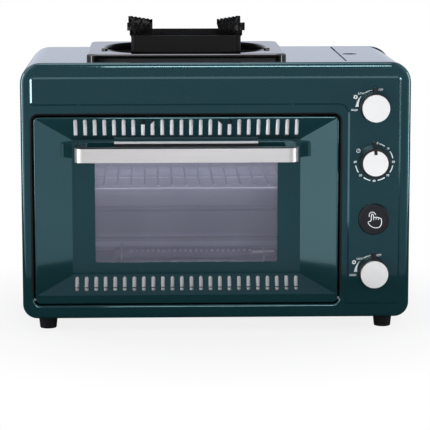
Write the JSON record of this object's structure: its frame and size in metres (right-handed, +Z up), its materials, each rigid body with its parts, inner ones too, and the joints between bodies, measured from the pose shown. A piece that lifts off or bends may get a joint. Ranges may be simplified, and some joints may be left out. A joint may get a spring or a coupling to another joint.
{
  "type": "folding camp oven",
  "caption": "Tabletop gas camp oven: glazed drop-down door with handle, control strip with knobs, wire rack, lidded cartridge bay and a stove burner with windshield on top.",
  "frame": {"origin": "middle of the overall box in X and Y, on the surface under the feet", "axes": "+Z up, -Y towards the user (the door), +X towards the control side"},
  "size_m": [0.48, 0.29, 0.3782],
  "materials": {
    "body_enamel": "gloss",
    "galvanised": "satin",
    "oven_lining": "satin",
    "black_rubber": "matte",
    "bright_steel": "satin",
    "chrome": "polished",
    "black_plastic": "satin",
    "white_plastic": "gloss",
    "clear_glass": "gloss",
    "black_enamel": "gloss",
    "stand_steel": "satin",
    "cast_aluminium": "satin",
    "tube_steel": "satin",
    "valve_brass": "satin",
    "timer_grey": "satin",
    "ceramic": "gloss"
  },
  "bodies": {
    "body": {"front_panel": "body_enamel", "top_cover": "body_enamel", "right_side_panel": "body_enamel", "base_pan": "galvanised", "back_panel": "galvanised", "feet": "black_rubber", "case_screws": "bright_steel", "lid_hinge_pin": "bright_steel", "bay_partition": "galvanised", "cartridge_cradle": "galvanised", "gas_regulator": "cast_aluminium", "cavity_left_wall": "oven_lining", "cavity_right_wall": "oven_lining", "cavity_roof": "oven_lining", "cavity_floor": "oven_lining", "cavity_back_wall": "oven_lining", "cavity_frame": "oven_lining", "oven_burner": "tube_steel", "burner_bracket": "oven_lining", "electrode_bracket": "oven_lining", "oven_electrode": "ceramic", "thermocouple": "valve_brass", "door_pins": "bright_steel", "pin_brackets": "galvanised", "drip_tray": "black_enamel", "burner_base": "cast_aluminium", "burner_head": "cast_aluminium", "burner_cap": "black_enamel", "stove_electrode": "ceramic", "stove_valve": "valve_brass", "oven_valve": "valve_brass", "timer_body": "timer_grey", "safety_valve": "valve_brass", "stove_pipe": "tube_steel", "supply_pipe": "tube_steel", "oven_pipe": "tube_steel"},
    "door": {"door_skin": "body_enamel", "door_liner": "galvanised", "door_glass": "clear_glass", "glass_clamp": "black_plastic", "glass_brackets": "galvanised", "handle_strap": "chrome", "handle_core": "black_plastic", "handle_posts": "black_plastic", "handle_screws": "bright_steel", "hinge_plates": "bright_steel"},
    "canister_lid": {"canister_lid": "body_enamel"},
    "rack": {"wire_rack": "chrome"},
    "pan_stand": {"windshield": "stand_steel", "pan_arm_front_left": "stand_steel", "pan_arm_front_right": "stand_steel", "pan_arm_back_left": "stand_steel", "pan_arm_back_right": "stand_steel"},
    "stove_knob": {"stove_knob": "black_plastic", "stove_cap": "white_plastic"},
    "timer_knob": {"timer_knob": "black_plastic", "timer_cap": "white_plastic"},
    "oven_knob": {"oven_knob": "black_plastic", "oven_cap": "white_plastic"},
    "flame_button": {"flame_button": "black_plastic"}
  },
  "joints": [
    {"name": "door_hinge", "type": "hinge", "parent": "body", "child": "door", "pos_m": [-0.0365, -0.1205, 0.0396], "axis": [1, 0, 0], "range_deg": [0, 90]},
    {"name": "canister_lid_hinge", "type": "hinge", "parent": "body", "child": "canister_lid", "pos_m": [0.236, 0, 0.262], "axis": [0, 1, 0], "range_deg": [0, 90]},
    {"name": "rack_slide", "type": "slide", "parent": "body", "child": "rack", "axis": [0, -1, 0], "range_m": [0, 0.1]},
    {"name": "pan_stand_lift", "type": "slide", "parent": "body", "child": "pan_stand", "axis": [0, 0, 1], "range_m": [0, 0.04]},
    {"name": "stove_knob_turn", "type": "hinge", "parent": "body", "child": "stove_knob", "pos_m": [0.195, -0.135, 0.2786], "axis": [0, -1, 0], "range_deg": [0, 105]},
    {"name": "timer_knob_turn", "type": "hinge", "parent": "body", "child": "timer_knob", "pos_m": [0.195, -0.135, 0.2111], "axis": [0, 1, 0], "range_deg": [0, 270]},
    {"name": "oven_knob_turn", "type": "hinge", "parent": "body", "child": "oven_knob", "pos_m": [0.195, -0.135, 0.0728], "axis": [0, -1, 0], "range_deg": [0, 105]},
    {"name": "flame_button_push", "type": "slide", "parent": "body", "child": "flame_button", "axis": [0, 1, 0], "range_m": [0, 0.004], "stiffness_N_per_m": 200}
  ],
  "couplings": [
    {"joint": "rack_slide", "follows": "door_hinge", "m_per_rad": 0.0636}
  ]
}
